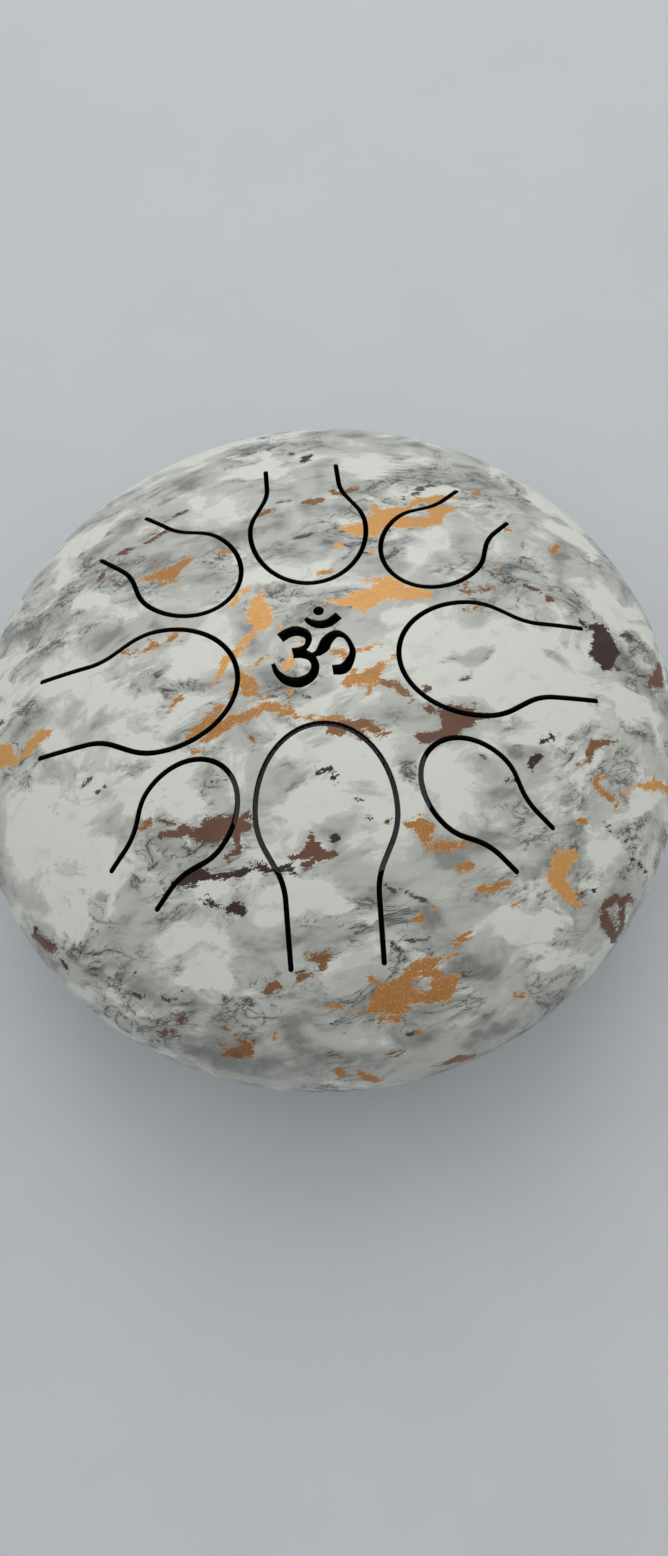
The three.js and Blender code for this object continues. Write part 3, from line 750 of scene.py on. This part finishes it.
def triangulate(outer, holes, spacing):
    """Plan triangles of the outline without its holes."""
    points = [spread_points(outer, holes, spacing)]
    edges = []
    start = len(points[0])
    for loop in [outer, *holes]:
        count = len(loop)
        edges += [(start + i, start + (i + 1) % count) for i in range(count)]
        points.append(loop)
        start += count
    vectors = [Vector(point) for point in np.vstack(points)]
    verts, _, faces, _, _, _ = delaunay_2d_cdt(vectors, edges, [], 0, MERGED)
    plan = np.array([tuple(v) for v in verts])
    faces = np.array(faces)
    a, b, c = plan[faces[:, 0]], plan[faces[:, 1]], plan[faces[:, 2]]
    area = (b[:, 0] - a[:, 0]) * (c[:, 1] - a[:, 1]) - (b[:, 1] - a[:, 1]) * (c[:, 0] - a[:, 0])
    faces[area < 0] = faces[area < 0][:, ::-1]
    middle = (a + b + c) / 3
    keep = inside(middle, outer) & (abs(area) > TINY)
    for hole in holes:
        keep &= ~inside(middle, hole)
    return plan, faces[keep]


# Meshes

def add_object(name, data):
    made = bpy.data.objects.new(name, data)
    bpy.context.scene.collection.objects.link(made)
    return made


def add_piece(name, points, faces, materials):
    mesh = bpy.data.meshes.new(name)
    mesh.from_pydata((np.array(points) * MM).tolist(), [], faces)
    for material in materials:
        mesh.materials.append(material)
    mesh.polygons.foreach_set("use_smooth", [True] * len(faces))
    return add_object(name, mesh)


class Builder:
    """Collects vertices and faces with a material and a normal for every corner."""

    def __init__(self):
        self.points = []
        self.faces = []
        self.slots = []
        self.normals = []

    def add_points(self, points):
        start = len(self.points)
        self.points += np.asarray(points, float).tolist()
        return np.arange(start, len(self.points))

    def add_face(self, face, normals, slot, flip):
        order = -1 if flip else 1
        self.faces.append([int(i) for i in face[::order]])
        self.normals += [tuple(n) for n in normals[::order]]
        self.slots.append(slot)

    def make(self, name):
        piece = add_piece(name, self.points, self.faces, [film, cut_steel, dark_paint_and_shade_inside])
        piece.data.polygons.foreach_set("material_index", self.slots)
        piece.data.normals_split_custom_set(self.normals)
        return piece


def plan_key(point):
    return tuple(np.round(point, KEY_DIGITS))


def way_out(a, b):
    """Unit vector in plan across an edge of the sheet, away from the sheet."""
    along = (b - a) / np.linalg.norm(b - a)
    return np.array([along[1], -along[0]])


def add_skin(build, outer, holes, side, inset, spacing):
    """One skin of a piece of domed sheet. Gives its plan points, its border edges with their kinds, the way
    out of the sheet at each point, and the places, normals and numbers of its vertices."""
    outward = inset == SKIN_INSET
    plan, faces = triangulate(outer, holes, spacing)
    directed = set()
    for a, b, c in faces.tolist():
        directed |= {(a, b), (b, c), (c, a)}
    border = {(a, b): edge_kind(plan[a], plan[b]) for a, b in directed if (b, a) not in directed}
    push = np.zeros_like(plan)
    for (a, b), kind in border.items():
        if kind is None:
            push[[a, b]] += way_out(plan[a], plan[b])
    length = np.linalg.norm(push, axis=1, keepdims=True)
    push = np.divide(push, length, out=np.zeros_like(push), where=length > TINY)
    points = on_dome(plan if outward else plan + push * EDGE, inset, side)
    normals = dome_normals(points, side) * (1 if outward else -1)
    index = build.add_points(points)
    for face in faces:
        build.add_face(index[face], normals[face], FILM if outward else INSIDE, outward != (side > 0))
    return plan, border, push, points, normals, index


def dome_part(build, outer, holes, side):
    """A piece of domed sheet: both skins, and walls along its edges. Edges of the kind "open" get no wall,
    edges of the kind "root" a plain one, and the others one that is rounded at the top.
    Gives lookups from plan points to vertices, for the outer and the inner skin."""
    skins = [add_skin(build, outer, holes, side, *skin) for skin in ((SKIN_INSET, FINE), (SHEET, COARSE))]
    lookups = [{plan_key(point): i for point, i in zip(skin[0], skin[-1])} for skin in skins]
    plan, border, push, points, normals, index = skins[0]
    half = math.sqrt(0.5)
    columns = {}

    def column(i):
        """Vertices and normals down the wall below a border point, made once."""
        if i not in columns:
            away = np.append(push[i], 0)
            ids = [index[i]]
            directions = [normals[i]]
            if away.any():
                mid = points[i] + EDGE * (half * away - (1 - half) * normals[i])
                low = points[i] + EDGE * (away - normals[i])
                ids += list(build.add_points([mid, low]))
                lean = normals[i] + away
                directions += [lean / np.linalg.norm(lean), away]
            ids.append(lookups[1][plan_key(plan[i])])
            directions.append(directions[-1])
            columns[i] = (ids, directions)
        return columns[i]

    for (a, b), kind in border.items():
        if kind == "open":
            continue
        ids_a, normals_a = column(a)
        ids_b, normals_b = column(b)
        if kind is None and len(ids_a) == len(ids_b):
            for i in range(len(ids_a) - 1):
                face = [ids_a[i], ids_a[i + 1], ids_b[i + 1], ids_b[i]]
                corner = [normals_a[i], normals_a[i + 1], normals_b[i + 1], normals_b[i]]
                build.add_face(face, corner, FILM if i < ROUND_FACES else CUT, side < 0)
        else:
            face = ids_a + ids_b[::-1]
            away = np.append(way_out(plan[a], plan[b]), 0)
            build.add_face(face, [away] * len(face), CUT, side < 0)
    return lookups


def shoulder_rings(inset):
    """Radius, height over the equator and normal's angle from the disc's rim to the seam."""
    dome = DOME_RADIUS - inset
    bend = SHOULDER_RADIUS - inset
    rows = []
    for t in np.linspace(math.asin(DISC_RADIUS / dome), TANGENT, DOME_RINGS):
        rows.append((dome * math.sin(t), dome * math.cos(t) - DOME_DROP, t))
    for t in np.linspace(TANGENT, SEAM_ANGLE, BEND_RINGS)[1:]:
        rows.append((SHOULDER_CENTRE + bend * math.sin(t), bend * math.cos(t), t))
    return rows


def add_shoulder(build, lookups, side):
    """The rounded shoulder between the disc and the seam, joined to the disc's two skins."""
    around = circle((0, 0), 1, AROUND)
    pairs = [(i, (i + 1) % AROUND) for i in range(AROUND)]
    rims = []
    for inset, lookup, sign in ((SKIN_INSET, lookups[0], 1), (SHEET, lookups[1], -1)):
        ring = [lookup[plan_key(point)] for point in disc]
        normal = None
        for radius, height, tilt in shoulder_rings(inset):
            lean = np.column_stack([math.sin(tilt) * around, np.full(AROUND, side * math.cos(tilt))]) * sign
            if normal is not None:
                level = np.full(AROUND, EQUATOR + side * height)
                fresh = build.add_points(np.column_stack([radius * around, level]))
                for i, j in pairs:
                    face = [ring[i], fresh[i], fresh[j], ring[j]]
                    corner = [normal[i], lean[i], lean[j], normal[j]]
                    build.add_face(face, corner, FILM if sign > 0 else INSIDE, sign != side)
                ring = fresh
            normal = lean
        rims.append(ring)
    for i, j in pairs:
        face = [rims[0][i], rims[1][i], rims[1][j], rims[0][j]]
        build.add_face(face, [(0, 0, -side)] * len(face), CUT, side < 0)


def is_disc_edge(a, b):
    return all(abs(math.hypot(*end) - DISC_RADIUS) < ON_LINE for end in (a, b))


def is_root(a, b):
    """Whether an edge lies on the line where a tongue is one sheet with the shell."""
    for angle, shift, _, _, leg, root in TONGUES.values():
        ends = turned(np.array([a, b]), -angle) - np.array([0, shift])
        on_line = abs(ends[:, 0] - (root - SLOT / 2)) < ON_LINE
        if (on_line & (abs(ends[:, 1]) < leg / 2 - SLOT / 2)).all():
            return True
    return False


def edge_kind(a, b):
    if is_disc_edge(a, b):
        return "open"
    return "root" if is_root(a, b) else None


disc = circle((0, 0), DISC_RADIUS, AROUND)

build = Builder()
holes = [opening_outline(tongue) for tongue in TONGUES.values()]
holes += [stroke_outline(stroke) for stroke in SIGN]
holes.append(circle(SIGN_DOT[:2], SIGN_DOT[2] / 2 + EDGE, DOT_POINTS))
add_shoulder(build, dome_part(build, disc, holes, 1), 1)
top = build.make("top_skin")

build = Builder()
foot_angles = -QUARTER + np.arange(FEET) * TURN / FEET
foot_centres = round_points((0, 0), FOOT_CIRCLE_RADIUS, foot_angles)
holes = [circle(centre, STEM_RADIUS + STEM_GAP, STEM_POINTS) for centre in foot_centres]
holes.append(circle((0, 0), PORT_RADIUS, PORT_POINTS))
add_shoulder(build, dome_part(build, disc, holes, -1), -1)
bottom = build.make("bottom_skin")

blades = {}
for name, tongue in TONGUES.items():
    build = Builder()
    dome_part(build, tongue_outline(tongue), [], 1)
    blades[name] = build.make("tongue_skin_" + name)


def lathe(name, centre, profile, count, material, degrees):
    """A closed turned body about a vertical line, from points of radius and height in order.
    A height may be a function of the plan points."""
    points = []
    rings = []
    for radius, height in profile:
        plan = circle(centre, radius, count) if radius > 0 else np.array([centre], float)
        z = height(plan) if callable(height) else np.full(len(plan), float(height))
        rings.append(range(len(points), len(points) + len(plan)))
        points += np.column_stack([plan, z]).tolist()
    faces = []
    for low, high in zip(rings, rings[1:]):
        for i in range(count):
            j = (i + 1) % count
            corners = [low[i % len(low)], low[j % len(low)], high[j % len(high)], high[i % len(high)]]
            faces.append(list(dict.fromkeys(corners)))
    piece = add_piece(name, points, faces, [material])
    piece.data.set_sharp_from_angle(angle=math.radians(degrees))
    return piece


def dish(inset, lift):
    """Height of the bottom dish's skin at plan points."""
    return lambda plan: EQUATOR - dome_height(np.hypot(plan[:, 0], plan[:, 1]), inset) + lift


foot_seat = EQUATOR - dome_height(FOOT_CIRCLE_RADIUS, SHEET)
foot_top = foot_seat + FOOT_HEAD_HEIGHT
bevel = ROUND_MIDDLE * FOOT_TOP_EDGE
foot_profile = [
    (0, 0),
    (FOOT_FLAT, 0),
    *arc((FOOT_RADIUS - FOOT_EDGE, FOOT_EDGE), FOOT_EDGE, -QUARTER, 0, FOOT_EDGE_STEP).tolist(),
    (FOOT_RADIUS, dish(0, -FOOT_GAP - FOOT_TOP_EDGE)),
    (FOOT_RADIUS - bevel, dish(0, -FOOT_GAP - bevel)),
    (FOOT_RADIUS - FOOT_TOP_EDGE, dish(0, -FOOT_GAP)),
    (STEM_RADIUS, dish(0, -FOOT_GAP)),
    (STEM_RADIUS, dish(SHEET, FOOT_GAP)),
    (FOOT_HEAD_RADIUS - FOOT_HEAD_EDGE, dish(SHEET, FOOT_GAP)),
    (FOOT_HEAD_RADIUS, dish(SHEET, FOOT_GAP + FOOT_HEAD_EDGE)),
    (FOOT_HEAD_RADIUS, foot_seat + FOOT_HEAD_HEIGHT / 2),
    (STEM_RADIUS, foot_top - FOOT_HEAD_EDGE),
    (STEM_RADIUS - FOOT_TIP_EDGE, foot_top),
    (0, foot_top),
]
feet = []
for i, centre in enumerate(foot_centres):
    feet.append(lathe("foot_rubber_%d" % (i + 1), centre, foot_profile, FOOT_POINTS, rubber, FOOT_SHARP))

bend = SHOULDER_RADIUS - SKIN_INSET
bead = [(SHOULDER_CENTRE + bend * math.sin(t), EQUATOR + bend * math.cos(t))
        for t in np.linspace(math.pi - SEAM_ANGLE, SEAM_ANGLE, BEAD_RINGS)]
bead = [(RIM_RADIUS - SEAM_DEPTH, EQUATOR), *bead, (RIM_RADIUS - SEAM_DEPTH, EQUATOR)]
seam = lathe("seam_band", (0, 0), bead, AROUND, film, SEAM_SHARP)


# Marks of the film

def stroke_segments(strokes, per_mm=1):
    """Ends and half widths of every piece of the strokes, on the top shell and again on the bottom shell."""
    segments = []
    for stroke in strokes:
        points = np.array(stroke) / per_mm
        half = points[:, 2] / 2
        above = on_outside(points[:, :2])
        mirrored = turned(points[:, :2] * (-1, 1), UNDERSIDE_TURN)
        below = np.column_stack([mirrored, 2 * EQUATOR - above[:, 2]])
        for lifted in (above, below):
            segments += zip(lifted[:-1], lifted[1:], half[:-1], half[1:])
    return segments


def distances(points, segments):
    """For every stroke piece: distance from the points, and half width beside them."""
    for start, end, first, last in segments:
        gap, t = from_segment(points, start, end)
        yield gap, first + t * (last - first)


foil_marks = [(stroke_segments(strokes, TENTHS), tint) for strokes, tint in FOIL]
vein_marks = stroke_segments(VEINS, TENTHS)
tone_marks = [(stroke_segments(WHITE), 1), (stroke_segments(GREY_AND_SHADE), -1)]


def paint(piece):
    """Lays the film's marks on a piece: depth inside foil or veins in millimetres, the foil's tint, and
    light or grey areas, the grey along the front rim partly painted shade."""
    mesh = piece.data
    points = np.empty(len(mesh.vertices) * 3)
    mesh.vertices.foreach_get("co", points)
    points = points.reshape(-1, 3) / MM
    foil = np.full(len(points), FAR_OUTSIDE)
    veins = foil.copy()
    weights = np.zeros(len(points))
    tints = np.zeros(len(points))
    tone = np.zeros(len(points))
    for segments, tint in foil_marks:
        for gap, half in distances(points, segments):
            foil = np.maximum(foil, half - gap)
            weight = np.exp((half - gap) * TINT_BLEND)
            weights += weight
            tints += tint * weight
    for gap, half in distances(points, vein_marks):
        veins = np.maximum(veins, half - gap)
    for segments, sign in tone_marks:
        best = np.zeros(len(points))
        for gap, half in distances(points, segments):
            best = np.maximum(best, np.exp(-(gap / half / TONE_SPREAD) ** 2))
        tone += sign * best
    marks = {"foil": foil, "tint": tints / np.maximum(weights, TINIEST), "veins": veins, "tone": tone}
    for name, value in marks.items():
        mesh.attributes.new(name, "FLOAT", "POINT").data.foreach_set("value", value.astype(np.float32))


for piece in (top, bottom, seam, *blades.values()):
    paint(piece)
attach(top, "drum")
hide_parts("top_shell")
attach(bottom, "drum")
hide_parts("bottom_shell")
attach(seam, "drum")
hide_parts("seam_weld")
for i, foot in enumerate(feet):
    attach(foot, "drum")
    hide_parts("foot_%d" % (i + 1))
for name, blade in blades.items():
    tongue = TONGUES[name]
    root = tongue[-1]
    ends = placed(np.array([[root - SLOT / 2, 0], [neck(tongue, 0)[1], 0]]), tongue)
    start, end = on_dome(ends, SHEET / 2, 1) * MM
    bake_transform(blade)
    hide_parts("tongue_" + name)

# Floor, light and camera
corners = [(x * FLOOR_HALF, y * FLOOR_HALF, 0) for x, y in ((-1, -1), (1, -1), (1, 1), (-1, 1))]
floor = add_piece("floor", corners, [(0, 1, 2, 3)], [pale_floor])

world = bpy.data.worlds.new("studio")
world.use_nodes = True
sky = Nodes(world.node_tree)
background = world.node_tree.nodes["Background"]
toward = sky.add("ShaderNodeTexCoord")["Generated"]
facing = sky.add("ShaderNodeVectorMath", {0: toward, 1: LIGHT_FROM}, operation="DOT_PRODUCT")["Value"]
sky.plug(SKY_COLOUR, background.inputs["Color"])
sky.plug(sky.plus(LIGHT_MEAN, facing, LIGHT_SLOPE), background.inputs["Strength"])
bpy.context.scene.world = world

lamp = bpy.data.lights.new("key", "AREA")
lamp.shape = "DISK"
lamp.size = KEY_SIZE
lamp.energy = KEY_POWER
key = add_object("key", lamp)
key.location = KEY_PLACE
key.rotation_euler = (KEY_TARGET - KEY_PLACE).to_track_quat("-Z", "Y").to_euler()

back = Vector((math.sin(CAMERA_AZIMUTH) * math.cos(CAMERA_ELEVATION),
               -math.cos(CAMERA_AZIMUTH) * math.cos(CAMERA_ELEVATION), math.sin(CAMERA_ELEVATION)))
right = (-back).cross(Vector((0, 0, 1))).normalized()
up = right.cross(-back)
across = math.cos(CAMERA_ROLL) * right + math.sin(CAMERA_ROLL) * up
upward = math.cos(CAMERA_ROLL) * up - math.sin(CAMERA_ROLL) * right
camera_data = bpy.data.cameras.new("camera")
camera_data.sensor_width = SENSOR_WIDTH
camera_data.lens = SENSOR_WIDTH * FOCAL_PIXELS / PHOTO_HEIGHT
camera_data.clip_start = CLIP_START
camera = add_object("camera", camera_data)
spot = (Vector((*CAMERA_AIM, APEX)) + back * CAMERA_DISTANCE) * MM
camera.matrix_world = Matrix.Translation(spot) @ Matrix((across, upward, back)).transposed().to_4x4()
bpy.context.scene.camera = camera
bpy.context.scene.view_settings.view_transform = "Standard"
